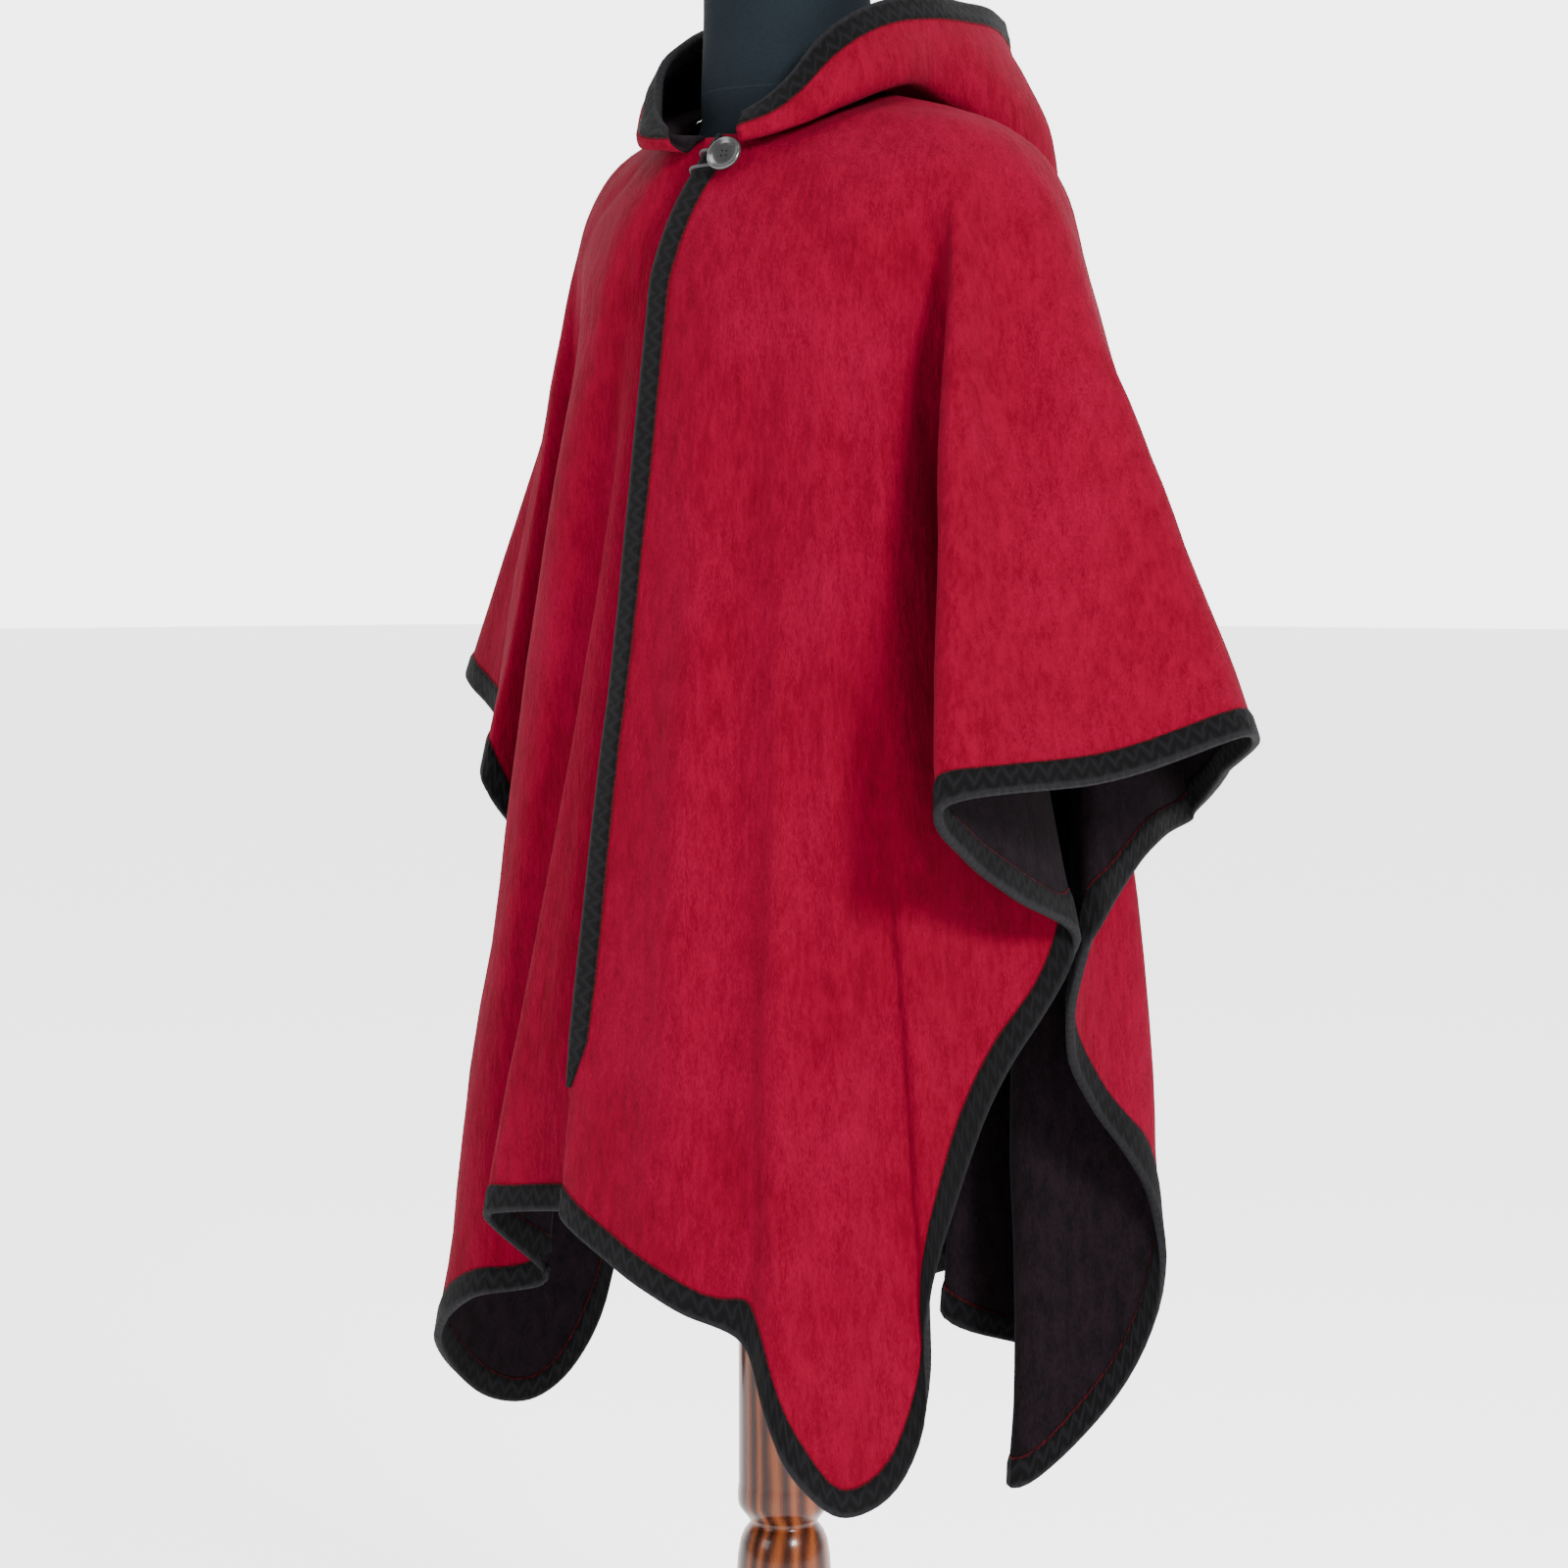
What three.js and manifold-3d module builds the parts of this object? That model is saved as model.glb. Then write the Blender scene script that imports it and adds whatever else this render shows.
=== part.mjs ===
// Hooded Andean poncho of brushed wool, worn by a limbless dress form on a turned wooden stand.
// Millimetres, +Z up. The wearer faces -Y, and +X is the wearer's left.
// The origin is the middle of the underside of the stand's round foot.
import * as THREE from 'three';
import { mergeVertices } from 'three/addons/utils/BufferGeometryUtils.js';
import Module from 'manifold-3d';

// The flat cut of the body: a rectangle with rounded corners, measured from the middle of the neck hole.
const cut = { halfWidth: 700, front: 935, back: 1080, corner: 110, neckHole: 85 };

// Thicknesses and widths of what is sewn.
const cloth = 3;
const braid = { width: 20, thick: 2.4, gap: 0.36 };
const slitEndDown = 0.93;
const longestBand = 45;
const seamGap = 0.3;

// The neck hole, and the knee where the cloth leaves the shoulders and begins to hang.
const neckRing = { x: 83, y: 86, midY: -3, frontZ: 1432, backZ: 1470 };
const kneeRing = { x: 212, y: 163, midY: 38, frontZ: 1352, sideZ: 1436, backZ: 1392, round: 72 };
const kneeSaving = 18;
// The right edge of the slit lies under the left edge: how far it is tucked across and in.
const tuck = { from: 338, to: 354, across: 34, atNeck: 0.15, inward: 16, openUntil: 0.62 };
// The slit drifts from the wearer's left at the throat to the right on the chest.
const drift = { neck: 20, knee: -12, reach: 30 };

// Where the edge of the cloth hangs. Each row is one fall line, the line a thread would take from
// the neck straight out to the edge of the flat cut: its turn around the neck in degrees from the
// front, the plan place of its lower end, and how far that end is lifted above a free fall.
const fallLines = [
  { turn: 0, x: -18, y: -223, lift: 40 }, // ridge of the middle pleat
  { turn: 8.5, x: 50, y: -229, lift: 22 },
  { turn: 17, x: 115, y: -220, lift: 24 },
  { turn: 24, x: 158, y: -200, lift: 40 }, // soft trough beside the corner
  { turn: 29.5, x: 193, y: -206, lift: 12 },
  { turn: 36.3, x: 225, y: -152, lift: 6 }, // left front corner
  { turn: 41, x: 240, y: -103, lift: 0 },
  { turn: 46, x: 242, y: -96, lift: 0 },
  { turn: 51.5, x: 252, y: -45, lift: 34 },
  { turn: 57.3, x: 273, y: 28, lift: 62 }, // left closure, front side
  { turn: 63.4, x: 290, y: -65, lift: 45 },
  { turn: 71, x: 302, y: -160, lift: 28 }, // front fold of the left sleeve
  { turn: 80.3, x: 365, y: -60, lift: 0 },
  { turn: 90, x: 420, y: 40, lift: 0 }, // top of the left sleeve
  { turn: 99.7, x: 335, y: 130, lift: 0 },
  { turn: 108.9, x: 250, y: 200, lift: 0 }, // back fold of the left sleeve
  { turn: 116.6, x: 262, y: 125, lift: 34 },
  { turn: 122.7, x: 268, y: 50, lift: 12 }, // left closure, back side
  { turn: 129.6, x: 218, y: 100, lift: 0 },
  { turn: 135.8, x: 223, y: 180, lift: 0 },
  { turn: 142.4, x: 215, y: 203, lift: 50 },
  { turn: 146.5, x: 170, y: 170, lift: 46 }, // left back corner
  { turn: 151.3, x: 125, y: 132, lift: 0 },
  { turn: 158, x: 95, y: 265, lift: 0 },
  { turn: 168, x: 45, y: 142, lift: 0 },
  { turn: 181, x: -15, y: 280, lift: 0 }, // middle of the back
  { turn: 193, x: -62, y: 142, lift: 0 },
  { turn: 202, x: -106, y: 268, lift: 0 },
  { turn: 208.7, x: -150, y: 152, lift: 0 },
  { turn: 213.5, x: -200, y: 212, lift: 0 }, // right back corner
  { turn: 217.6, x: -212, y: 150, lift: 0 },
  { turn: 224, x: -262, y: 150, lift: 0 },
  { turn: 230.5, x: -216, y: 82, lift: 0 },
  { turn: 237.3, x: -268, y: 52, lift: 12 }, // right closure, back side
  { turn: 243.4, x: -265, y: 120, lift: 0 },
  { turn: 251, x: -255, y: 190, lift: 0 }, // back fold of the right sleeve
  { turn: 260.3, x: -340, y: 130, lift: 0 },
  { turn: 270, x: -420, y: 45, lift: 30 }, // top of the right sleeve
  { turn: 279.7, x: -330, y: -5, lift: 38 },
  { turn: 289, x: -275, y: -68, lift: 40 }, // front fold of the right sleeve
  { turn: 296.6, x: -268, y: -15, lift: 45 },
  { turn: 302.7, x: -273, y: 30, lift: 62 }, // right closure, front side
  { turn: 310, x: -228, y: 52, lift: 20 },
  { turn: 318, x: -206, y: 6, lift: 8 },
  { turn: 323.7, x: -244, y: -47, lift: 0 }, // right front corner
  { turn: 328.8, x: -254, y: -120, lift: 2 },
  { turn: 334, x: -225, y: -168, lift: 0 },
  { turn: 340, x: -170, y: -176, lift: 0 },
  { turn: 344.8, x: -113, y: -148, lift: 0 }, // trough of the right front pleat
  { turn: 349, x: -122, y: -204, lift: 30 }, // ridge of the right front pleat
  { turn: 354, x: -42, y: -199, lift: 40 },
  { turn: 357.4, x: 28, y: -206, lift: 40 }, // trough of the middle pleat
];

// How many rings run around the cloth between the neck and the knee, and from there to the braid.
const kneeSteps = [0, 0.35, 0.6, 0.8, 1];
const hangSteps = [1.22, 1.45, 1.68, 1 + slitEndDown, 2];
const downs = [...kneeSteps, ...hangSteps, 3];
const slitRing = downs.indexOf(1 + slitEndDown);

// Face edge of the lowered hood on the wearer's left, and at which turn of the neck seam it stands.
// The right half mirrors it. The top of the hood lies behind the neck.
const hoodRows = [
  { turn: 14, x: 34, y: -92, z: 1440 },
  { turn: 32, x: 56, y: -82, z: 1453 },
  { turn: 50, x: 71, y: -66, z: 1472 },
  { turn: 68, x: 83, y: -45, z: 1503 },
  { turn: 90, x: 90, y: 0, z: 1530 },
  { turn: 115, x: 90, y: 52, z: 1543 },
  { turn: 140, x: 74, y: 130, z: 1548 },
  { turn: 162, x: 42, y: 205, z: 1550 },
  { turn: 180, x: 10, y: 250, z: 1550 },
];
const hood = {
  firstTurn: 23, lastTurn: 346, seamRise: 5.5, clear: 12, pouch: 14, pouchFrom: 112, pouchFull: 168,
};
const hoodSteps = [0.09, 0.2, 0.31, 0.42, 0.53, 0.64, 0.76, 0.88, 1];

// Limbless torso with its neck: level sections from the hips to the cap of the neck.
const torsoSections = [
  { z: 760, halfWidth: 150, halfDepth: 104, midY: 18 },
  { z: 775, halfWidth: 166, halfDepth: 118, midY: 18 },
  { z: 870, halfWidth: 172, halfDepth: 122, midY: 18 },
  { z: 960, halfWidth: 158, halfDepth: 110, midY: 18 },
  { z: 1040, halfWidth: 146, halfDepth: 102, midY: 18 },
  { z: 1120, halfWidth: 154, halfDepth: 108, midY: 20 },
  { z: 1210, halfWidth: 172, halfDepth: 120, midY: 23 },
  { z: 1290, halfWidth: 186, halfDepth: 124, midY: 26 },
  { z: 1350, halfWidth: 189, halfDepth: 114, midY: 28 },
  { z: 1390, halfWidth: 182, halfDepth: 98, midY: 28 },
  { z: 1412, halfWidth: 164, halfDepth: 84, midY: 22 },
  { z: 1426, halfWidth: 122, halfDepth: 70, midY: 14 },
  { z: 1437, halfWidth: 84, halfDepth: 64, midY: 8 },
  { z: 1452, halfWidth: 69, halfDepth: 63, midY: 6 },
  { z: 1475, halfWidth: 65, halfDepth: 66, midY: 5 },
  { z: 1520, halfWidth: 62, halfDepth: 64, midY: 4 },
  { z: 1572, halfWidth: 61, halfDepth: 63, midY: 3 },
  { z: 1583, halfWidth: 56, halfDepth: 58, midY: 3 },
  { z: 1590, halfWidth: 40, halfDepth: 42, midY: 3 },
];
const torsoSides = 32;
const torsoSquareness = 2.25;

// Turned profiles, radius and height, from the axis at the bottom to the axis at the top.
const poleTop = 760 - seamGap;
const footTop = 34;
const poleProfile = [
  [0, footTop + seamGap], [44, footTop + seamGap], [44, 46], [33, 52], [26, 66], [23, 95], [24, 128],
  [31, 138], [34, 148], [31, 158], [25, 166], [25, 178], [31, 205], [36, 240], [38, 275], [38, 305],
  [36.6, 326], [33.5, 339], [28.5, 347], [27, 350], [28.5, 353],
  [36.2, 363], [36.8, 371], [36, 382], [36, poleTop], [0, poleTop],
];
const footProfile = [
  [0, 0], [182, 0], [186, 5], [186, 12], [178, 18], [160, 21], [120, 25], [84, 29], [70, footTop],
  [0, footTop],
];

// Dished horn button on a thread shank, sewn to the left braid at the throat.
const buttonSize = { radius: 14, rim: 2.2, floor: 0.8, thick: 4, shank: 3, shankRise: 3.6 };
const buttonAt = { turn: 15, down: 0.24 };

// Cord loop from the right edge of the slit, round the shank under the button.
const loopCord = { radius: 1.2, bend: 5, sewnTurn: 348.5, sewnApart: 0.07, pastRim: 3.5, overRim: 2 };

// Wall offsets by which the cut braids stay off the cloth, and where the slit braids end.
const clearances = [2 * seamGap, seamGap, 0];
const slitBraidEnd = { left: 1.9, right: 1.72 };
const colours = { wool: 0xb3122f, braid: 0x1f2024, horn: 0x6e6f6a, cover: 0x36424b, wood: 0x7a3415 };

const rad = THREE.MathUtils.degToRad;
const lerp = THREE.MathUtils.lerp;
const smooth = THREE.MathUtils.smoothstep;
const vec = (x, y, z) => new THREE.Vector3(x, y, z);

// Distance on the flat cut from the middle of the neck hole to the outer edge.
function cutReach(turn) {
  const across = Math.abs(Math.sin(rad(turn)));
  const along = Math.abs(Math.cos(rad(turn)));
  const halfLength = Math.cos(rad(turn)) > 0 ? cut.front : cut.back;
  const toSide = cut.halfWidth / Math.max(across, 1e-9);
  const toHem = halfLength / Math.max(along, 1e-9);
  const reach = Math.min(toSide, toHem);
  const inX = cut.halfWidth - cut.corner;
  const inY = halfLength - cut.corner;
  if (across * reach < inX || along * reach < inY) return reach;
  const nearest = across * inX + along * inY;
  return nearest + Math.sqrt(nearest ** 2 - inX ** 2 - inY ** 2 + cut.corner ** 2);
}

// Smooth curve through the rows of a table, at a turn between them.
function alongTable(rows, turn, column) {
  const count = rows.length;
  let k = rows.findIndex((row) => row.turn > turn) - 1;
  if (k < 0) k = count - 1;
  const at = (n) => {
    const lap = Math.floor(n / count);
    const row = rows[((n % count) + count) % count];
    return { turn: row.turn + 360 * lap, value: row[column] };
  };
  const [a, b, c, d] = [at(k - 1), at(k), at(k + 1), at(k + 2)];
  const span = c.turn - b.turn;
  const t = (turn - b.turn) / span;
  const slopeB = ((c.value - a.value) / (c.turn - a.turn)) * span;
  const slopeC = ((d.value - b.value) / (d.turn - b.turn)) * span;
  const t2 = t * t;
  const t3 = t2 * t;
  return (2 * t3 - 3 * t2 + 1) * b.value + (t3 - 2 * t2 + t) * slopeB
    + (3 * t2 - 2 * t3) * c.value + (t3 - t2) * slopeC;
}

function neckPoint(turn, tucked) {
  const s = Math.sin(rad(turn));
  const c = Math.cos(rad(turn));
  const back = (1 - c) / 2;
  const z = lerp(neckRing.frontZ, neckRing.backZ, smooth(back, 0, 0.75));
  const near = slitNearness(turn);
  return vec(neckRing.x * s + drift.neck * near + tucked * tuck.atNeck * tuck.across,
    neckRing.midY - neckRing.y * c + tucked * tuck.inward, z);
}

function kneePoint(turn, tucked) {
  const s = Math.sin(rad(turn));
  const c = Math.cos(rad(turn));
  const endZ = c > 0 ? kneeRing.frontZ : kneeRing.backZ;
  const z = lerp(kneeRing.sideZ, endZ, smooth(Math.abs(c), 0.15, 1));
  const near = slitNearness(turn);
  return vec(kneeRing.x * s + drift.knee * near + tucked * tuck.across,
    kneeRing.midY - kneeRing.y * c + tucked * tuck.inward, z);
}

function slitNearness(turn) {
  const away = Math.min(turn, 360 - turn);
  return 1 - smooth(away, 0, drift.reach);
}

// The lower end of a fall line, at the height that its cut length lets it hang to.
function edgePoint(turn, tucked) {
  const wrapped = turn % 360;
  const x = alongTable(fallLines, wrapped, 'x');
  const y = alongTable(fallLines, wrapped, 'y');
  const lift = alongTable(fallLines, wrapped, 'lift');
  const neck = neckPoint(turn, 0);
  const knee = kneePoint(turn, 0);
  const hang = cutReach(turn) - cut.neckHole - neck.distanceTo(knee) + kneeSaving;
  const out = Math.hypot(x - knee.x, y - knee.y);
  const z = knee.z - Math.sqrt(hang ** 2 - out ** 2) + lift;
  const open = vec(-18 + tuck.across, -223 + tuck.inward, z);
  const free = vec(x, y, z);
  return tucked > 0 ? free.lerp(open, tucked) : free;
}

// How far up a fall line the braid reaches, so that it is as wide as the braid square to the edge.
function bandLength(turn, fall) {
  const step = turn > 359 ? -0.5 : 0.5;
  const run = edgePoint(turn + step, 0).sub(edgePoint(turn, 0)).normalize();
  return Math.min(braid.width / fall.clone().cross(run).length(), longestBand);
}

// A point of the cloth's middle surface on a fall line. down runs 0 at the neck, 1 where the
// rounded knee ends, 2 at the inner line of the edge braid and 3 at the cloth's edge.
function clothPoint(turn, down) {
  const tuckedTurn = smooth(turn, tuck.from, tuck.to);
  const opened = 1 - smooth(down - 1, tuck.openUntil, slitEndDown);
  const above = tuckedTurn * (down <= 1 ? 1 : opened);
  const neck = neckPoint(turn, above);
  const knee = kneePoint(turn, above);
  const edge = edgePoint(turn, above * (turn > 350 ? smooth(turn, 350, 360) : 0));
  const outward = knee.clone().sub(neck);
  const inRun = outward.length();
  const fall = edge.clone().sub(knee);
  outward.normalize();
  fall.normalize();
  const round = Math.min(kneeRing.round, inRun * 0.6);
  const start = knee.clone().addScaledVector(outward, -round);
  const end = knee.clone().addScaledVector(fall, round);
  const bandRun = bandLength(turn, fall);
  if (down >= 2) return edge.clone().addScaledVector(fall, -bandRun * (3 - down));
  if (down >= 1) return end.lerp(edge.addScaledVector(fall, -bandRun), down - 1);
  const bend = (down - 0.35) / 0.65;
  if (bend <= 0) return neck.lerp(start, down / 0.35);
  return start.multiplyScalar((1 - bend) ** 2)
    .addScaledVector(knee, 2 * bend * (1 - bend))
    .addScaledVector(end, bend ** 2);
}

// The turns at which the cloth is sampled: each row of the table, and what lies between rows.
function clothTurns() {
  const turns = [];
  fallLines.forEach((row, k) => {
    const next = fallLines[k + 1] ?? { ...fallLines[0], turn: 360 };
    const apart = Math.hypot(next.x - row.x, next.y - row.y);
    const parts = apart > 62 ? 3 : 2;
    for (let n = 0; n < parts; n += 1) turns.push(lerp(row.turn, next.turn, n / parts));
  });
  turns.push(360);
  return turns;
}

// A surface is a list of points and of triangles that face outwards. The wall gives it thickness.
function surfaceNormals(points, faces) {
  const normals = points.map(() => vec(0, 0, 0));
  for (const [a, b, c] of faces) {
    const side = points[b].clone().sub(points[a]);
    const face = side.cross(points[c].clone().sub(points[a]));
    for (const n of [a, b, c]) normals[n].add(face);
  }
  return normals.map((n) => n.normalize());
}

function wall(points, faces, thickness) {
  const normals = surfaceNormals(points, faces);
  const count = points.length;
  const outer = points.map((p, n) => p.clone().addScaledVector(normals[n], thickness / 2));
  const inner = points.map((p, n) => p.clone().addScaledVector(normals[n], -thickness / 2));
  const solid = [];
  const rim = new Map();
  for (const [a, b, c] of faces) {
    solid.push([a, b, c], [a + count, c + count, b + count]);
    for (const [from, to] of [[a, b], [b, c], [c, a]]) {
      if (!rim.delete(`${to} ${from}`)) rim.set(`${from} ${to}`, [from, to]);
    }
  }
  for (const [from, to] of rim.values()) {
    solid.push([to, from, from + count], [to, from + count, to + count]);
  }
  return solidGeometry([...outer, ...inner], solid);
}

function solidGeometry(points, faces) {
  const geometry = new THREE.BufferGeometry();
  geometry.setAttribute('position', new THREE.Float32BufferAttribute(points.flatMap((p) => p.toArray()), 3));
  geometry.setIndex(faces.flat());
  geometry.computeVertexNormals();
  return geometry;
}

// Body of the poncho: fall lines side by side, joined below the end of the slit.
function clothSurface() {
  const turns = clothTurns();
  const points = [];
  const index = turns.map((turn, i) => downs.map((down, j) => {
    if (i === turns.length - 1 && j >= slitRing) return j;
    points.push(clothPoint(turn, down));
    return points.length - 1;
  }));
  const faces = gridFaces(index);
  return { turns, points, index, faces, normals: surfaceNormals(points, faces) };
}

function gridFaces(index) {
  const faces = [];
  for (let i = 0; i + 1 < index.length; i += 1) {
    for (let j = 0; j + 1 < index[i].length; j += 1) {
      const [a, b, c, d] = [index[i][j], index[i][j + 1], index[i + 1][j + 1], index[i + 1][j]];
      faces.push([a, b, c], [a, c, d]);
    }
  }
  return faces;
}

// Braid folded over an edge of cloth. Each station has the edge's point, a point one braid width
// into the cloth, and the cloth's outward normal at both.
function bindEdge(stations, closed, mirrored) {
  const inside = cloth / 2 + braid.gap;
  const outside = inside + braid.thick;
  const points = [];
  for (const { edge, inner, edgeNormal, innerNormal } of stations) {
    const off = edge.clone().sub(inner).normalize();
    const leaf = (point, normal, rise, beyond) =>
      point.clone().addScaledVector(normal, rise).addScaledVector(off, beyond);
    points.push(
      leaf(inner, innerNormal, inside, 0),
      leaf(edge, edgeNormal, inside, braid.gap),
      leaf(edge, edgeNormal, -inside, braid.gap),
      leaf(inner, innerNormal, -inside, 0),
      leaf(inner, innerNormal, -outside, 0),
      leaf(edge, edgeNormal, -outside, braid.gap + braid.thick * 0.5),
      leaf(edge, edgeNormal, 0, braid.gap + braid.thick),
      leaf(edge, edgeNormal, outside, braid.gap + braid.thick * 0.5),
      leaf(inner, innerNormal, outside, 0),
    );
  }
  const around = 9;
  const flipped = mirrored ? [0, 4] : [1, 2, 7];
  const faces = [];
  const last = closed ? stations.length : stations.length - 1;
  for (let i = 0; i < last; i += 1) {
    const here = i * around;
    const next = ((i + 1) % stations.length) * around;
    for (let k = 0; k < around; k += 1) {
      const up = (k + 1) % around;
      if (flipped.includes(k)) faces.push([here + k, next + k, here + up], [next + k, next + up, here + up]);
      else faces.push([here + k, next + k, next + up], [here + k, next + up, here + up]);
    }
  }
  if (!closed) {
    const caps = [[0, 8, 7], [0, 7, 1], [1, 7, 6], [1, 6, 2], [2, 6, 5], [2, 5, 3], [3, 5, 4]];
    const end = last * around;
    for (const [a, b, c] of caps) {
      faces.push([a, c, b], [end + a, end + b, end + c]);
    }
  }
  return solidGeometry(points, mirrored ? faces.map(([a, b, c]) => [a, c, b]) : faces);
}

function outerBraid(surface) {
  const { index, points, normals, turns } = surface;
  const edgeRing = downs.length - 1;
  return bindEdge(turns.slice(0, -1).map((_, i) => {
    const edge = index[i][edgeRing];
    const inner = index[i][edgeRing - 1];
    return {
      edge: points[edge],
      inner: points[inner],
      edgeNormal: normals[edge],
      innerNormal: normals[inner],
    };
  }), true, false);
}

// Square direction off the cloth's outer face at a place on it.
function clothNormal(turn, down) {
  const side = Math.max(turn - 0.5, 0);
  const across = clothPoint(Math.min(side + 1, 360), down).sub(clothPoint(side, down));
  const above = Math.max(down - 0.05, 0);
  const fall = clothPoint(turn, above + 0.05).sub(clothPoint(turn, above));
  return fall.cross(across).normalize();
}

// Braid on one edge of the slit. side is 1 on the wearer's left edge and -1 on the right edge.
function slitBraid(side, rings) {
  const edgeTurn = side > 0 ? 0 : 360;
  return bindEdge(rings.map((down) => {
    const edge = clothPoint(edgeTurn, down);
    let innerTurn = edgeTurn;
    while (clothPoint(innerTurn, down).distanceTo(edge) < braid.width) innerTurn += side * 0.1;
    return {
      edge,
      inner: clothPoint(innerTurn, down),
      edgeNormal: clothNormal(edgeTurn, down),
      innerNormal: clothNormal(innerTurn, down),
    };
  }), false, side < 0);
}

// One line of the hood from its face edge, down its outside, under the pouch and up to the seam.
function hoodLine(turn) {
  const half = turn > 180 ? 360 - turn : turn;
  const side = turn > 180 ? -1 : 1;
  const k = Math.min(hoodRows.findIndex((row) => row.turn >= half), hoodRows.length - 1);
  const row = (n) => hoodRows[THREE.MathUtils.clamp(n, 0, hoodRows.length - 1)];
  const [a, b] = [row(k - 1), row(k)];
  const t = b.turn > a.turn ? (half - a.turn) / (b.turn - a.turn) : 0;
  const spline = (key) => {
    const [p, q] = [row(k - 2)[key], row(k + 1)[key]];
    return 0.5 * (2 * a[key] + (b[key] - p) * t + (2 * p - 5 * a[key] + 4 * b[key] - q) * t * t
      + (3 * a[key] - p - 3 * b[key] + q) * t ** 3);
  };
  const face = vec(side * spline('x'), spline('y'), spline('z'));
  const full = smooth(half, hood.pouchFrom, hood.pouchFull);
  const lowest = lerp(0.16, 0.9, full);
  const offCloth = (down, rise) => clothPoint(turn, down).addScaledVector(clothNormal(turn, down), rise);
  const bottom = offCloth(lowest, hood.clear + hood.pouch * (0.3 + 0.7 * full));
  const out = vec(Math.sin(rad(turn)), -Math.cos(rad(turn)), 0);
  const high = face.clone().lerp(bottom, lerp(0.33, 0.3, full)).addScaledVector(out, lerp(4, 16, full));
  const low = face.clone().lerp(bottom, lerp(0.66, 0.68, full)).addScaledVector(out, lerp(7, 26, full));
  const seam = offCloth(0, hood.seamRise);
  const inner = [0.75, 0.4].map((part) => offCloth(lowest * part, hood.clear));
  return new THREE.CatmullRomCurve3([face, high, low, bottom, ...inner, seam], false, 'centripetal');
}

function hoodSurface() {
  const turns = [];
  const count = 32;
  for (let i = 0; i <= count; i += 1) turns.push(lerp(hood.firstTurn, hood.lastTurn, i / count));
  const points = [];
  const index = turns.map((turn) => {
    const line = hoodLine(turn);
    const bandPart = Math.min(braid.width / line.getLength(), 0.6);
    const parts = [0, bandPart, ...hoodSteps.map((step) => lerp(bandPart, 1, step))];
    return parts.map((part) => {
      points.push(line.getPointAt(part));
      return points.length - 1;
    });
  });
  const faces = gridFaces(index);
  return { points, index, faces, normals: surfaceNormals(points, faces) };
}

function hoodBraid({ points, index, normals }) {
  return bindEdge(index.map(([edge, inner]) => ({
    edge: points[edge],
    inner: points[inner],
    edgeNormal: normals[edge],
    innerNormal: normals[inner],
  })), false, true);
}

function torsoGeometry() {
  const points = [];
  const faces = [];
  for (const { z, halfWidth, halfDepth, midY } of torsoSections) {
    for (let n = 0; n < torsoSides; n += 1) {
      const angle = (n / torsoSides) * 2 * Math.PI;
      const [c, s] = [Math.cos(angle), Math.sin(angle)];
      const sum = Math.abs(c) ** torsoSquareness + Math.abs(s) ** torsoSquareness;
      const radius = sum ** (-1 / torsoSquareness);
      points.push(vec(halfWidth * c * radius, midY + halfDepth * s * radius, z));
    }
  }
  const last = (torsoSections.length - 1) * torsoSides;
  for (let row = 0; row < last; row += torsoSides) {
    for (let n = 0; n < torsoSides; n += 1) {
      const next = (n + 1) % torsoSides;
      const [a, b, c, d] = [row + n, row + next, row + torsoSides + next, row + torsoSides + n];
      faces.push([a, b, c], [a, c, d]);
    }
  }
  for (let n = 1; n + 1 < torsoSides; n += 1) {
    faces.push([0, n + 1, n], [last, last + n, last + n + 1]);
  }
  return solidGeometry(points, faces);
}

function turned(profile, sides) {
  const outline = profile.map(([radius, z]) => new THREE.Vector2(radius, z));
  return new THREE.LatheGeometry(outline, sides).rotateX(Math.PI / 2);
}

function buttonFrame() {
  const normal = clothNormal(buttonAt.turn, buttonAt.down);
  const seat = clothPoint(buttonAt.turn, buttonAt.down);
  const place = seat.addScaledVector(normal, cloth / 2 + 2 * braid.gap + braid.thick);
  const turnTo = new THREE.Quaternion().setFromUnitVectors(vec(0, 0, 1), normal);
  return new THREE.Matrix4().compose(place, turnTo, vec(1, 1, 1));
}

function buttonGeometry() {
  const { radius, rim, floor, thick, shank, shankRise } = buttonSize;
  const profile = [
    [0, 0], [shank, 0], [shank, shankRise], [radius - 2, shankRise], [radius, shankRise + 1.2],
    [radius, shankRise + thick - 0.8], [radius - 0.9, shankRise + thick],
    [radius - rim, shankRise + thick - 0.4],
    [radius - rim - 2.6, shankRise + thick - floor - 0.8], [0, shankRise + thick - floor - 1],
  ];
  return turned(profile, 28).applyMatrix4(buttonFrame());
}

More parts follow.
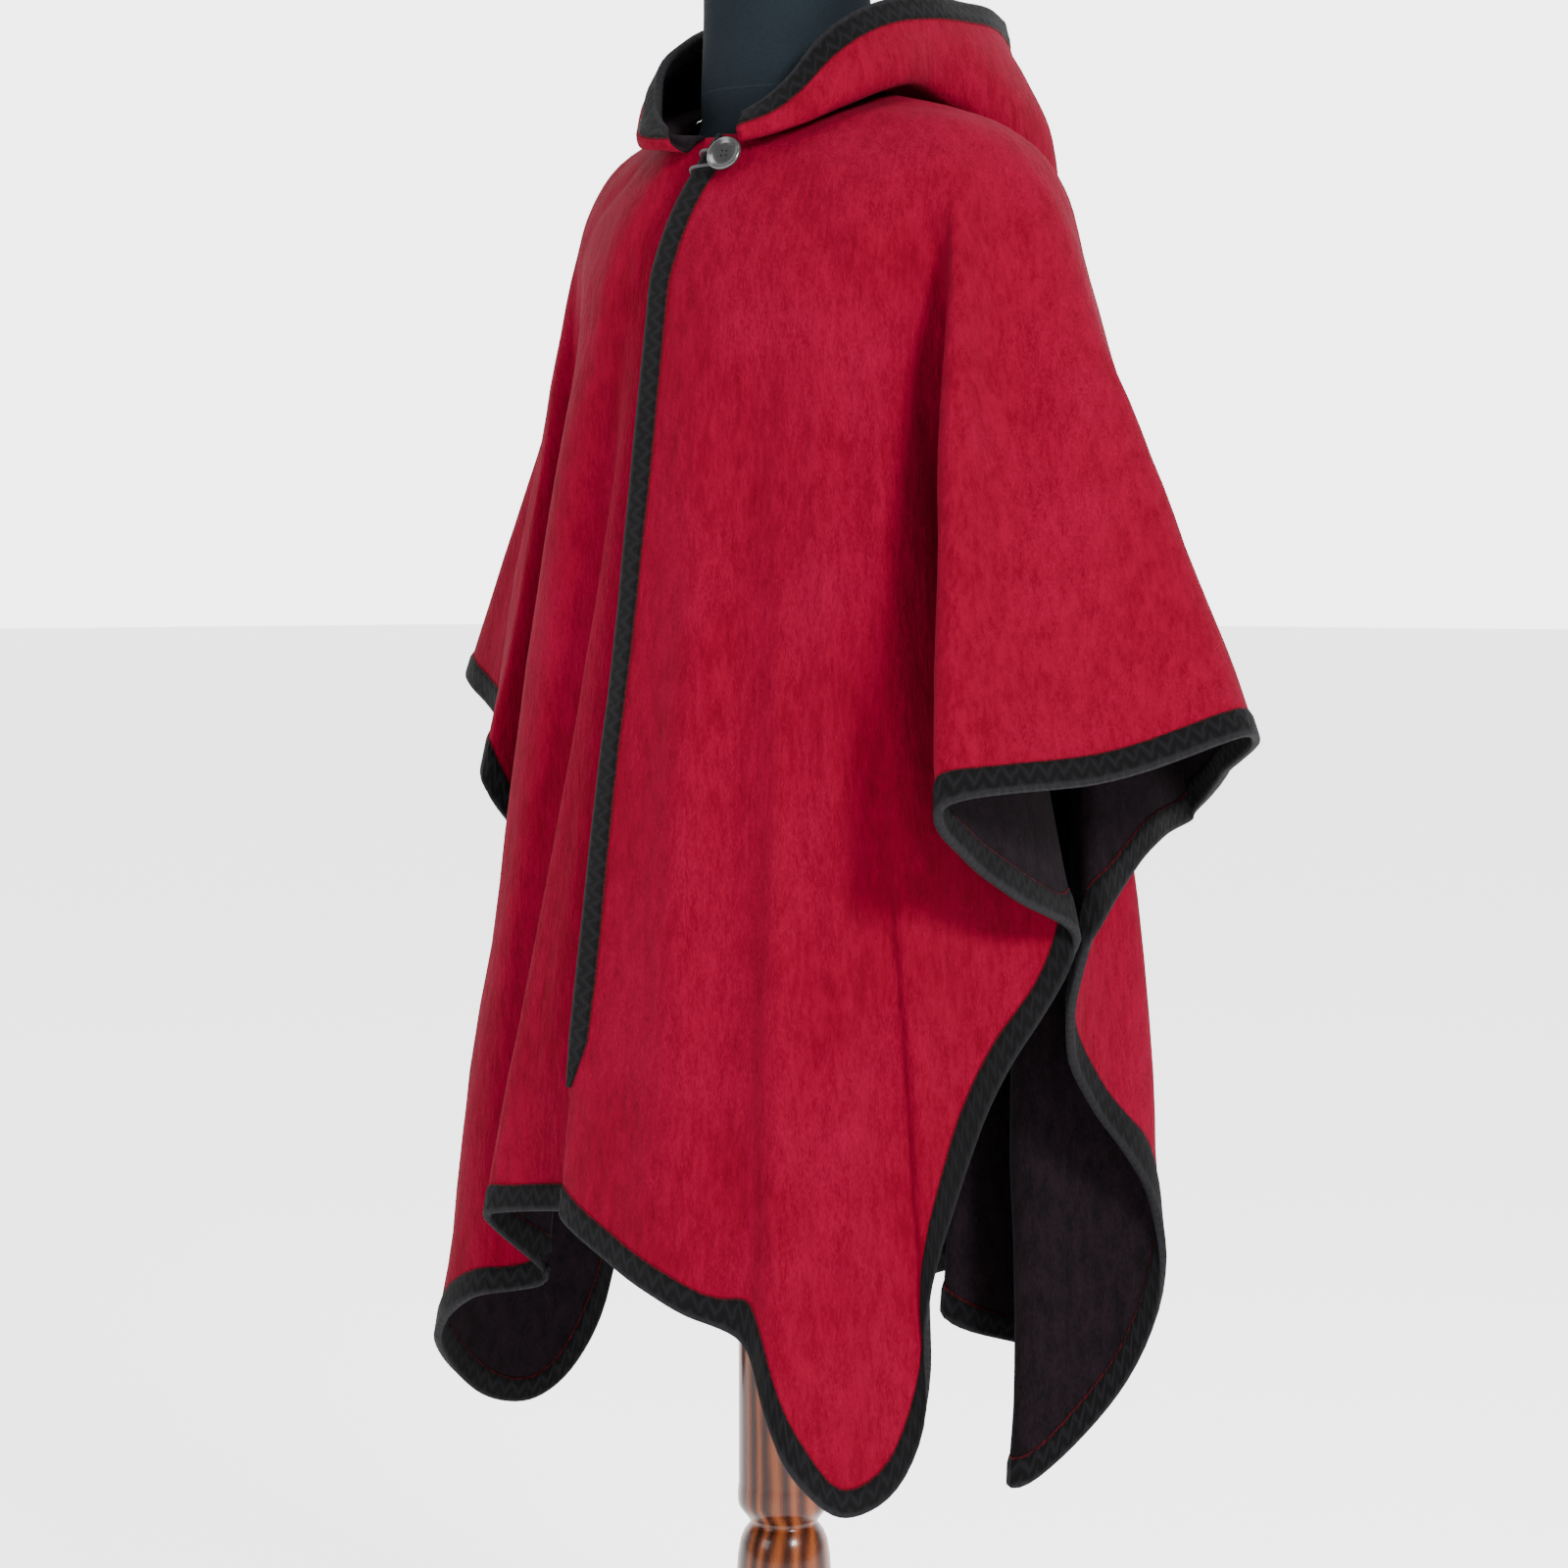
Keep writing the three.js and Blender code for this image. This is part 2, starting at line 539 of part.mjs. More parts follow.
function loopGeometry() {
  const { radius, bend, sewnTurn, sewnApart, pastRim, overRim } = loopCord;
  const rise = buttonSize.shankRise - radius - 0.6;
  const sweep = [-90, -45, 0, 45, 90].map((angle) => (
    vec(bend * Math.cos(rad(angle)), bend * Math.sin(rad(angle)), rise).applyMatrix4(buttonFrame())
  ));
  const leg = (side) => {
    const down = buttonAt.down + side * sewnApart;
    const rim = clothPoint(0, down);
    const beyond = rim.clone().sub(clothPoint(4, down)).normalize();
    const sewn = clothPoint(sewnTurn, down);
    const above = cloth / 2 + 2 * braid.gap + braid.thick + radius + overRim;
    return [
      sewn.addScaledVector(clothNormal(sewnTurn, down), cloth / 2 + seamGap + radius),
      rim.clone()
        .addScaledVector(beyond, braid.thick + pastRim)
        .addScaledVector(clothNormal(2, down), above / 3),
      rim.addScaledVector(clothNormal(2, down), above).addScaledVector(beyond, 0.5),
    ];
  };
  const route = new THREE.CatmullRomCurve3([...leg(1), ...sweep, ...leg(-1).reverse()]);
  const section = new THREE.Shape();
  section.absarc(0, 0, radius, 0, 2 * Math.PI);
  return new THREE.ExtrudeGeometry(section, { steps: 28, curveSegments: 4, extrudePath: route });
}

// Braid cut back wherever a sharp fold brings it closer than the seam gap to the cloth it binds.
const wasm = await Module();
wasm.setup();

function toSolid(geometry) {
  const bare = geometry.clone().deleteAttribute('normal').deleteAttribute('uv');
  const merged = mergeVertices(bare, 1e-4);
  return new wasm.Manifold(new wasm.Mesh({
    numProp: 3,
    vertProperties: new Float32Array(merged.attributes.position.array),
    triVerts: new Uint32Array(merged.index.array),
  }));
}

function cutClear(geometry, clearWalls) {
  let solid = toSolid(geometry);
  for (const clearWall of clearWalls) solid = solid.subtract(toSolid(clearWall));
  const largest = solid.decompose().sort((a, b) => b.volume() - a.volume())[0];
  const { vertProperties, triVerts } = largest.getMesh();
  const cutGeometry = new THREE.BufferGeometry();
  cutGeometry.setAttribute('position', new THREE.BufferAttribute(Float32Array.from(vertProperties), 3));
  cutGeometry.setIndex(Array.from(triVerts));
  cutGeometry.computeVertexNormals();
  return cutGeometry;
}

const poncho = new THREE.Group();

function addPart(name, geometry, colour, roughness) {
  const material = new THREE.MeshStandardMaterial({ color: colour, roughness, metalness: 0 });
  const mesh = new THREE.Mesh(geometry, material);
  mesh.name = name;
  poncho.add(mesh);
}

const body = clothSurface();
const hoodShape = hoodSurface();
const clearOfBody = clearances.map((more) => wall(body.points, body.faces, cloth + more));
const clearOfHood = clearances.map((more) => wall(hoodShape.points, hoodShape.faces, cloth + more));
const clearOfBoth = [...clearOfBody, ...clearOfHood];
const leftRings = [...downs.slice(0, slitRing), slitBraidEnd.left];
const rightRings = [...downs.slice(0, slitRing), slitBraidEnd.right];

addPart('poncho_cloth', wall(body.points, body.faces, cloth), colours.wool, 0.9);
addPart('hood_cloth', wall(hoodShape.points, hoodShape.faces, cloth), colours.wool, 0.9);
addPart('braid_outer', outerBraid(body), colours.braid, 0.85);
addPart('braid_slit_left', cutClear(slitBraid(1, leftRings), clearOfBoth), colours.braid, 0.85);
addPart('braid_slit_right', cutClear(slitBraid(-1, rightRings), clearOfBoth), colours.braid, 0.85);
addPart('braid_hood', cutClear(hoodBraid(hoodShape), clearOfHood), colours.braid, 0.85);
addPart('button', buttonGeometry(), colours.horn, 0.3);
addPart('button_loop', loopGeometry(), colours.braid, 0.8);
addPart('form_torso', torsoGeometry(), colours.cover, 0.95);
addPart('stand_pole', turned(poleProfile, 32), colours.wood, 0.25);
addPart('stand_foot', turned(footProfile, 48), colours.wood, 0.25);

export default poncho;
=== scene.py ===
import math
import bpy
import bmesh
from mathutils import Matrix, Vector, noise
from mathutils.bvhtree import BVHTree


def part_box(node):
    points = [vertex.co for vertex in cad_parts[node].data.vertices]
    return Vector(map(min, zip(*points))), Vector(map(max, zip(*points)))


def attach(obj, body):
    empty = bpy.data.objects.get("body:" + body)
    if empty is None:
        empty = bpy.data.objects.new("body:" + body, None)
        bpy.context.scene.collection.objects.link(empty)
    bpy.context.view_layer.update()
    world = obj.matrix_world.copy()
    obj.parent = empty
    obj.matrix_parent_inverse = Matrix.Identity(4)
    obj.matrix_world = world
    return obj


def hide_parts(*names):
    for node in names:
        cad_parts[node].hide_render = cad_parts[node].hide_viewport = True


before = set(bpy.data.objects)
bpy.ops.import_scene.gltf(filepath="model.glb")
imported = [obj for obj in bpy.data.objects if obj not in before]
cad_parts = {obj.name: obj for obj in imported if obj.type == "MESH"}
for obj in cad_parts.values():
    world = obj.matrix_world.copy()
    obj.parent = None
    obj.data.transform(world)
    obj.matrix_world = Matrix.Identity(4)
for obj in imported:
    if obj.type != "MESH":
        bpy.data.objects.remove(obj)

for name in ("Cube", "Light", "Camera"):
    if name in bpy.data.objects:
        bpy.data.objects.remove(bpy.data.objects[name], do_unlink=True)
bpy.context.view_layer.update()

# camera

cameraSettings = {
    "turn": 44.0,  # degrees from the front towards the wearer's left
    "distance": 2.82,
    "height": 1.09,
    "aimHeight": 0.936,
    "lens": 82.5,
}


def placeCamera():
    turn = math.radians(cameraSettings["turn"])
    away = cameraSettings["distance"]
    place = Vector((math.sin(turn) * away, -math.cos(turn) * away, cameraSettings["height"]))
    aim = Vector((0.0, 0.0, cameraSettings["aimHeight"]))
    lensData = bpy.data.cameras.new("camera")
    lensData.lens = cameraSettings["lens"]
    lensData.sensor_width = 36.0
    camera = bpy.data.objects.new("camera", lensData)
    camera.location = place
    camera.rotation_euler = (aim - place).to_track_quat("-Z", "Y").to_euler()
    bpy.context.collection.objects.link(camera)
    bpy.context.scene.camera = camera


placeCamera()
print("camera placed")

# shader maths


class Value:
    def __init__(self, tree, socket):
        self.tree = tree
        self.socket = socket

    def join(self, operation, other):
        node = self.tree.nodes.new("ShaderNodeMath")
        node.operation = operation
        self.tree.links.new(self.socket, node.inputs[0])
        if isinstance(other, Value):
            self.tree.links.new(other.socket, node.inputs[1])
        else:
            node.inputs[1].default_value = other
        return Value(self.tree, node.outputs[0])

    def __add__(self, other):
        return self.join("ADD", other)

    def __sub__(self, other):
        return self.join("SUBTRACT", other)

    def __mul__(self, other):
        return self.join("MULTIPLY", other)

    def __truediv__(self, other):
        return self.join("DIVIDE", other)


class Finish:
    def __init__(self, name):
        self.material = bpy.data.materials.new(name)
        self.material.use_nodes = True
        self.tree = self.material.node_tree
        self.shader = self.tree.nodes["Principled BSDF"]

    def node(self, kind, settings=None, stops=None, out=0, **values):
        node = self.tree.nodes.new(kind)
        for key, setting in (settings or {}).items():
            setattr(node, key, setting)
        if stops:
            ramp = node.color_ramp
            while len(ramp.elements) < len(stops):
                ramp.elements.new(0.5)
            for element, (place, colour) in zip(ramp.elements, stops):
                element.position = place
                element.color = colour if len(colour) == 4 else (*colour, 1.0)
        for key, value in values.items():
            numbered = key[0] == "i" and key[1:].isdigit()
            socket = node.inputs[int(key[1:])] if numbered else node.inputs[key]
            if isinstance(value, Value):
                self.tree.links.new(value.socket, socket)
            else:
                socket.default_value = value
        return Value(self.tree, node.outputs[out])

    def feed(self, name, value):
        if isinstance(value, Value):
            self.tree.links.new(value.socket, self.shader.inputs[name])
        else:
            self.shader.inputs[name].default_value = value

    def place(self):
        return self.node("ShaderNodeTexCoord", out=3)

    def scaled(self, coords, scale, offset=(0.0, 0.0, 0.0)):
        return self.node("ShaderNodeMapping", Vector=coords, Scale=scale, Location=offset)

    def speckle(self, coords, scale, detail=2.0, roughness=0.5):
        return self.node("ShaderNodeTexNoise", Vector=coords, Scale=scale, Detail=detail, Roughness=roughness)

    def spread(self, value, start, end, low=0.0, high=1.0):
        ends = {"From Min": start, "From Max": end, "To Min": low, "To Max": high}
        return self.node("ShaderNodeMapRange", Value=value, **ends)

    def foldBack(self, value):
        # rises from 0 to 1 and falls back again over each whole step of the value
        return self.node("ShaderNodeMath", {"operation": "PINGPONG"}, i0=value, i1=0.5) * 2.0

    def blend(self, share, first, second):
        node = self.tree.nodes.new("ShaderNodeMix")
        node.data_type = "RGBA"
        node.blend_type = "MIX"
        sockets = (node.inputs[0], node.inputs[6], node.inputs[7])
        for socket, value in zip(sockets, (share, first, second)):
            if isinstance(value, Value):
                self.tree.links.new(value.socket, socket)
            else:
                socket.default_value = value if isinstance(value, float) else (*value, 1.0)
        return Value(self.tree, node.outputs[2])

    def relief(self, height, strength, distance):
        self.feed("Normal", self.node("ShaderNodeBump", Height=height, Strength=strength, Distance=distance))

    def separate(self, coords, part):
        return self.node("ShaderNodeSeparateXYZ", out=part, Vector=coords)


woolSettings = {
    "lit": (0.108, 0.0002, 0.0085),
    "deep": (0.074, 0.0001, 0.0042),
    "bloom": (0.150, 0.0008, 0.0170),
    # inner face colours: the black inner wool, darkened far below black wool's own colour as painted shade
    # for the shadowed inside of the poncho
    "inside": (0.0014, 0.0009, 0.0013),
    "insideBloom": (0.0065, 0.0032, 0.0050),
    "roughness": 0.9,
    "sheen": 0.03,
}


def woolFinish():
    finish = Finish("brushedWool")
    place = finish.place()
    streaks = finish.speckle(finish.scaled(place, (260.0, 260.0, 60.0)), 1.0, 3.0, 0.6)
    tufts = finish.speckle(finish.scaled(place, (90.0, 90.0, 34.0)), 1.0, 2.0, 0.5)
    cloudy = finish.speckle(place, 9.0, 2.0, 0.5)
    fibres = finish.speckle(finish.scaled(place, (900.0, 900.0, 260.0)), 1.0, 2.0, 0.6)
    shade = finish.spread(streaks * 0.55 + tufts * 0.45, 0.35, 0.62)
    base = finish.blend(shade, woolSettings["deep"], woolSettings["lit"])
    light = finish.spread(fibres * 0.6 + cloudy * 0.4, 0.48, 0.72, high=0.6)
    finish.feed("Base Color", finish.blend(light, base, woolSettings["bloom"]))
    finish.feed("Roughness", woolSettings["roughness"])
    finish.feed("Sheen Weight", woolSettings["sheen"])
    finish.feed("Sheen Roughness", 0.55)
    finish.feed("Sheen Tint", (0.9, 0.12, 0.25, 1.0))
    finish.feed("Specular IOR Level", 0.04)
    finish.relief(fibres * 0.4 + streaks * 0.7 + tufts * 0.9, 0.8, 0.0030)
    return finish.material


# inner face of the wool: black, darkened further as painted shade
def insideBlackAndShadeFinish():
    finish = Finish("woolInsideBlackAndShade")
    place = finish.place()
    fibres = finish.speckle(finish.scaled(place, (700.0, 700.0, 240.0)), 1.0, 3.0, 0.6)
    tufts = finish.speckle(finish.scaled(place, (120.0, 120.0, 50.0)), 1.0, 2.0, 0.5)
    shade = finish.spread(fibres * 0.6 + tufts * 0.4, 0.38, 0.66)
    finish.feed("Base Color", finish.blend(shade, woolSettings["inside"], woolSettings["insideBloom"]))
    finish.feed("Roughness", 0.92)
    finish.feed("Specular IOR Level", 0.06)
    finish.relief(fibres * 0.5 + tufts, 0.5, 0.0014)
    return finish.material


braidSettings = {
    "width": 0.020,
    "rise": 0.0019,
    "wrap": 0.0024,
    "sewnLift": 0.35,  # how much of the rise is left at the sewn side
    "rimAngles": (50, 0, -50),
    "rows": 4,
    "slitRows": 5,
    "taper": 0.035,
    "pitch": 0.0135,
    "dark": (0.0004, 0.0004, 0.0007),
    # lighter colour on the zigzag ridges of the black braid: a painted highlight
    "ridge": (0.0065, 0.0065, 0.0085),
    # light line along the braid's free edge: a painted highlight where the folded edge catches the light
    "rim": (0.022, 0.021, 0.024),
    "fuzz": (0.09, 0.0005, 0.004),
}


def braidFinish():
    # u runs along the braid in metres, v runs across it, 0 at the free edge and 1 at the sewn side
    finish = Finish("zigzagBraid")
    uv = finish.node("ShaderNodeUVMap", {"uv_map": "braid"})
    along = finish.separate(uv, 0)
    across = finish.separate(uv, 1)
    wobble = finish.speckle(finish.place(), 160.0, 2.0, 0.5)
    turns = along / braidSettings["pitch"] + wobble * 0.35
    wave = finish.node("ShaderNodeMath", {"operation": "PINGPONG"}, i0=turns, i1=0.5)
    zigzag = finish.foldBack(across * 1.5 + wave * 1.6 + wobble * 0.3)
    thread = finish.foldBack(along / 0.0011 + across * 9.0)
    fibres = finish.speckle(finish.place(), 1500.0, 2.0, 0.6)
    # band at the free edge, raised in the bump and carrying the painted highlight
    rimBand = finish.spread(across, 0.16, 0.05)
    height = zigzag * 0.75 + thread * 0.25 + rimBand * 0.5
    # painted highlight: the raised zigzag ridges get the lighter colour
    ridge = finish.spread(zigzag * 0.8 + fibres * 0.35, 0.45, 1.0)
    base = finish.blend(ridge, braidSettings["dark"], braidSettings["ridge"])
    # painted highlight along the free edge, flecked by the fibre noise
    base = finish.blend(rimBand * fibres, base, braidSettings["rim"])
    edgeNoise = finish.speckle(finish.place(), 420.0, 3.0, 0.7)
    fuzz = finish.spread(across + edgeNoise * 0.22, 1.03, 1.10)
    finish.feed("Base Color", finish.blend(fuzz, base, braidSettings["fuzz"]))
    finish.feed("Roughness", 0.8)
    finish.feed("Specular IOR Level", 0.10)
    finish.relief(height + fibres * 0.35, 1.0, 0.0055)
    return finish.material


formSettings = {
    "cover": (0.0026, 0.0044, 0.0062),
    "coverLight": (0.0068, 0.0105, 0.0138),
    "seam": (0.008, 0.012, 0.016),
    "seamHeight": 1.472,
    "seamHalf": 0.0007,
}


def coverFinish():
    finish = Finish("jerseyCover")
    place = finish.place()
    height = finish.separate(place, 2)
    ahead = finish.separate(place, 0)
    aside = finish.separate(place, 1)
    side = finish.node("ShaderNodeMath", {"operation": "ARCTAN2"}, i0=aside, i1=ahead)
    rows = finish.foldBack(height / 0.0016)
    loops = finish.foldBack(side * 45.0)
    lint = finish.speckle(place, 700.0, 3.0, 0.65)
    cloudy = finish.speckle(place, 14.0, 2.0, 0.5)
    seam = finish.node("ShaderNodeMath", {"operation": "COMPARE"}, i0=height,
                       i1=formSettings["seamHeight"], i2=formSettings["seamHalf"])
    weave = rows * 0.5 + loops * 0.5
    share = finish.spread(weave * 0.3 + lint * 0.5 + cloudy * 0.4, 0.4, 0.85)
    base = finish.blend(share, formSettings["cover"], formSettings["coverLight"])
    finish.feed("Base Color", finish.blend(seam * 0.7, base, formSettings["seam"]))
    finish.feed("Roughness", 0.9)
    finish.feed("Specular IOR Level", 0.08)
    finish.relief(weave * 0.6 + lint * 0.3 - seam * 1.2, 0.35, 0.0006)
    return finish.material


woodSettings = {
    "dark": (0.016, 0.0030, 0.0010),
    "mid": (0.062, 0.0130, 0.0034),
    "light": (0.135, 0.036, 0.0095),
}


def woodFinish(name, direction, stretch):
    finish = Finish(name)
    place = finish.place()
    swirl = finish.speckle(finish.scaled(place, (14.0, 14.0, 1.6)), 1.0, 4.0, 0.55)
    bands = finish.node("ShaderNodeTexWave", {"wave_type": "RINGS", "rings_direction": direction}, out=1,
                        Vector=finish.scaled(place, stretch, (0.011, 0.034, 0.02)), Scale=26.0,
                        Distortion=5.0, Detail=3.0)
    pores = finish.speckle(finish.scaled(place, (900.0, 900.0, 40.0)), 1.0, 2.0, 0.6)
    share = finish.spread(bands * 0.5 + swirl * 0.6, 0.3, 0.85)
    stops = list(zip((0.0, 0.5, 1.0), woodSettings.values()))
    base = finish.node("ShaderNodeValToRGB", stops=stops, Fac=share)
    poreMask = finish.spread(pores, 0.62, 0.72, high=0.5)
    finish.feed("Base Color", finish.blend(poreMask, base, woodSettings["dark"]))
    finish.feed("Roughness", finish.spread(pores, 0.0, 1.0, low=0.2, high=0.34))
    finish.feed("Specular IOR Level", 0.15)
    finish.feed("Coat Weight", 0.16)
    finish.feed("Coat Roughness", 0.06)
    finish.relief(pores * -0.3 + bands * 0.2, 0.12, 0.0005)
    return finish.material


hornSettings = {
    "dark": (0.008, 0.008, 0.009),
    "mid": (0.012, 0.0115, 0.011),
    "light": (0.036, 0.034, 0.031),
}
cordSettings = {"dark": (0.012, 0.011, 0.014), "light": (0.075, 0.07, 0.075)}


def hornFinish():
    finish = Finish("polishedHorn")
    place = finish.place()
    clouds = finish.speckle(finish.scaled(place, (70.0, 110.0, 60.0)), 1.0, 4.0, 0.55)
    lines = finish.speckle(finish.scaled(place, (160.0, 160.0, 1200.0)), 1.0, 3.0, 0.6)
    share = finish.spread(clouds * 0.75 + lines * 0.25, 0.36, 0.66)
    stops = list(zip((0.0, 0.55, 1.0), hornSettings.values()))
    base = finish.node("ShaderNodeValToRGB", stops=stops, Fac=share)
    finish.feed("Base Color", base)
    finish.feed("Roughness", 0.28)
    finish.feed("Coat Weight", 0.4)
    finish.relief(lines, 0.06, 0.0003)
    return finish.material


def cordFinish():
    finish = Finish("loopCord")
    place = finish.place()
    twist = finish.node("ShaderNodeTexWave", {"wave_type": "BANDS", "bands_direction": "DIAGONAL"}, out=1,
                        Vector=place, Scale=420.0, Distortion=1.0)
    fibres = finish.speckle(place, 1600.0, 2.0, 0.6)
    finish.feed("Base Color", finish.blend(twist * fibres, cordSettings["dark"], cordSettings["light"]))
    finish.feed("Roughness", 0.8)
    finish.relief(twist, 0.7, 0.0006)
    return finish.material


wool = woolFinish()
inside = insideBlackAndShadeFinish()
braidCloth = braidFinish()
cover = coverFinish()
wood = woodFinish("varnishedPole", "Z", (1.0, 1.0, 0.12))
footWood = woodFinish("varnishedFoot", "X", (0.12, 1.0, 1.0))
horn = hornFinish()
cordThread = cordFinish()
print("finishes mixed")

# sheets of cloth on their solids' forms

clothWall = 0.003
mergeWithin = 2e-6


def newPiece(name, build):
    mesh = bpy.data.meshes.new(name)
    build.to_mesh(mesh)
    build.free()
    piece = bpy.data.objects.new(name, mesh)
    bpy.context.collection.objects.link(piece)
    return piece


def mergedCopy(nodeName):
    build = bmesh.new()
    build.from_mesh(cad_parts[nodeName].data)
    bmesh.ops.remove_doubles(build, verts=build.verts, dist=mergeWithin)
    build.normal_update()
    return build


def rimFaces(build):
    # faces of the wall's rim hold an edge that runs straight through the wall, and lie in a chain
    found = set()
    for edge in build.edges:
        if abs(edge.calc_length() - clothWall) < mergeWithin:
            found.update(edge.link_faces)

    def neighbours(face):
        return sum(other in found for edge in face.edges for other in edge.link_faces if other != face)

    return [face for face in found if neighbours(face) >= 2]


def islands(build):
    left = set(build.faces)
    groups = []
    while left:
        seed = left.pop()
        group = [seed]
        queue = [seed]
        while queue:
            face = queue.pop()
            for edge in face.edges:
                for other in edge.link_faces:
                    if other in left:
                        left.discard(other)
                        group.append(other)
                        queue.append(other)
        groups.append(group)
    return groups


def outerSkin(nodeName):
    build = mergedCopy(nodeName)
    bmesh.ops.delete(build, geom=list(rimFaces(build)), context="FACES_ONLY")
    groups = islands(build)

    def facingOut(group):
        total = 0.0
        for face in group:
            middle = face.calc_center_median()
            total += face.calc_area() * face.normal.dot(Vector((middle.x, middle.y - 0.02, 0.0)).normalized())
        return total

    keep = set(max(groups, key=facingOut))
    bmesh.ops.delete(build, geom=[face for face in build.faces if face not in keep], context="FACES")
    loose = [vert for vert in build.verts if not vert.link_faces]
    bmesh.ops.delete(build, geom=loose, context="VERTS")
    joinGrid(build)
    return build


def joinGrid(build):
    # every triangle has its edges in one order: down the cloth, round the cloth, diagonal
    build.faces.ensure_lookup_table()
    for start in range(3):
        first = build.faces[0]
        diagonals = set()
        seen = {first}
        queue = [(first, start)]
        clean = True
        while queue and clean:
            face, offset = queue.pop()
            for step in range(3):
                loop = face.loops[(offset + step) % 3]
                if step == 2:
                    diagonals.add(loop.edge)
                    clean = clean and not loop.edge.is_boundary
                for other in loop.edge.link_faces:
                    if other not in seen:
                        seen.add(other)
                        place = next(n for n in range(3) if other.loops[n].edge == loop.edge)
                        queue.append((other, (place - step) % 3))
        if clean:
            bmesh.ops.dissolve_edges(build, edges=list(diagonals), use_verts=False, use_face_split=False)
            return


def useOnly(piece):
    bpy.ops.object.select_all(action="DESELECT")
    piece.select_set(True)
    bpy.context.view_layer.objects.active = piece


def smoothShaded(piece):
    piece.data.polygons.foreach_set("use_smooth", [True] * len(piece.data.polygons))


def applied(piece, kind, **settings):
    useOnly(piece)
    modifier = piece.modifiers.new(kind.lower(), kind)
    for key, setting in settings.items():
        setattr(modifier, key, setting)
    bpy.ops.object.modifier_apply(modifier=modifier.name)


def smoothed(piece, levels, rounds=3, catchUp=0.9):
    # control points move out a little first, so that the smooth surface passes through the solid's points
    wanted = [vert.co.copy() for vert in piece.data.vertices]
    for step in range(rounds):
        trial = piece.copy()
        trial.data = piece.data.copy()
        bpy.context.collection.objects.link(trial)
        applied(trial, "SUBSURF", levels=levels, render_levels=levels, boundary_smooth="PRESERVE_CORNERS")
        reached = [trial.data.vertices[n].co.copy() for n in range(len(wanted))]
        bpy.data.objects.remove(trial, do_unlink=True)
        for vert, target, now in zip(piece.data.vertices, wanted, reached):
            vert.co += (target - now) * catchUp
    applied(piece, "SUBSURF", levels=levels, render_levels=levels, boundary_smooth="PRESERVE_CORNERS")
    smoothShaded(piece)


def openPaths(piece):
    # the free edges of a sheet as lists of vertex numbers, cut where the sheet has a corner
    build = bmesh.new()
    build.from_mesh(piece.data)
    build.verts.ensure_lookup_table()
    border = {vert.index for vert in build.verts if vert.is_boundary}
    corners = {n for n in border if len(build.verts[n].link_edges) == 2}

    def onBorder(n):
        vert = build.verts[n]
        return [edge.other_vert(vert).index for edge in vert.link_edges if edge.is_boundary]

    nextTo = {n: onBorder(n) for n in border}
    paths = []
    used = set()
    for start in sorted(corners) + sorted(border):
        for onward in nextTo[start]:
            if frozenset((start, onward)) in used:
                continue
            path = [start, onward]
            used.add(frozenset(path))
            while path[-1] not in corners and path[-1] != start:
                ahead = [n for n in nextTo[path[-1]] if frozenset((path[-1], n)) not in used]
                if not ahead:
                    break
                used.add(frozenset((path[-1], ahead[0])))
                path.append(ahead[0])
            paths.append(path)
    build.free()
    return paths


def bandFromRows(piece, path, rows):
    # grid of places and directions off the cloth, from the free edge inwards over the sheet's own rows
    build = bmesh.new()
    build.from_mesh(piece.data)
    build.verts.ensure_lookup_table()
    grid = [[build.verts[n] for n in path]]
    taken = set(grid[0])
    for step in range(rows):
        line = []
        for vert in grid[-1]:
            inward = [edge.other_vert(vert) for edge in vert.link_edges if edge.other_vert(vert) not in taken]
            if vert.is_boundary and len(vert.link_edges) > 2:
                inward = [other for other in inward if not other.is_boundary] or inward
            line.append(inward[0] if inward else vert)
        grid.append(line)
        taken.update(line)
    places = [[(vert.co.copy(), vert.normal.copy()) for vert in line] for line in grid]
    build.free()
    return places


def bandFromEdge(piece, path):
    # the same for an edge that the sheet's rows don't follow: each row is laid a step further in
    width, rows, taper = braidSettings["width"], braidSettings["slitRows"], braidSettings["taper"]
    build = bmesh.new()
    build.from_mesh(piece.data)
    build.verts.ensure_lookup_table()
    tree = BVHTree.FromBMesh(build)
    edgeLine = [build.verts[n] for n in path]
    places = [[(vert.co.copy(), vert.normal.copy()) for vert in edgeLine]]
    inwards = []
    for n, vert in enumerate(edgeLine):
        tangent = (edgeLine[min(n + 1, len(path) - 1)].co - edgeLine[max(n - 1, 0)].co).normalized()
        inward = vert.normal.cross(tangent).normalized()
        centres = [face.calc_center_median() for face in vert.link_faces]
        middle = sum(centres, Vector()) / len(centres)
        inwards.append(inward if inward.dot(middle - vert.co) > 0 else -inward)
    left = [0.0]
    for n in range(len(path) - 1, 0, -1):
        left.append(left[-1] + (edgeLine[n].co - edgeLine[n - 1].co).length)
    shares = [min(1.0, 0.3 + 0.7 * (far / taper) ** 0.7) for far in reversed(left)]
    for row in range(1, rows + 1):
        line = []
        for vert, inward, share in zip(edgeLine, inwards, shares):
            found, normal, face, far = tree.find_nearest(vert.co + inward * width * share * row / rows)
            line.append((found, normal))
        places.append(line)
    build.free()
    return places


def braidSection(places, m):
    # one cross-section: outer leaf from the sewn side to the edge, rounded rim, inner leaf back again
    rise = braidSettings["rise"]
    rows = len(places) - 1
    edge, edgeNormal = places[0][m]
    off = (edge - places[1][m][0]).normalized()
    lifts = [rise] * rows + [rise * braidSettings["sewnLift"]]
    section = []
    for row in range(rows, -1, -1):
        place, normal = places[row][m]
        section.append((place + normal * lifts[row], row / rows))
    half = rise + clothWall / 2
    middle = edge - edgeNormal * clothWall / 2
    for angle in braidSettings["rimAngles"]:
        swing = math.radians(angle)
        reach = off * (braidSettings["wrap"] * math.cos(swing)) + edgeNormal * (half * math.sin(swing) * 1.1)
        section.append((middle + reach, 0.0))
    for row in range(rows + 1):
        place, normal = places[row][m]
        section.append((place - normal * (lifts[row] + clothWall), row / rows))
    return section


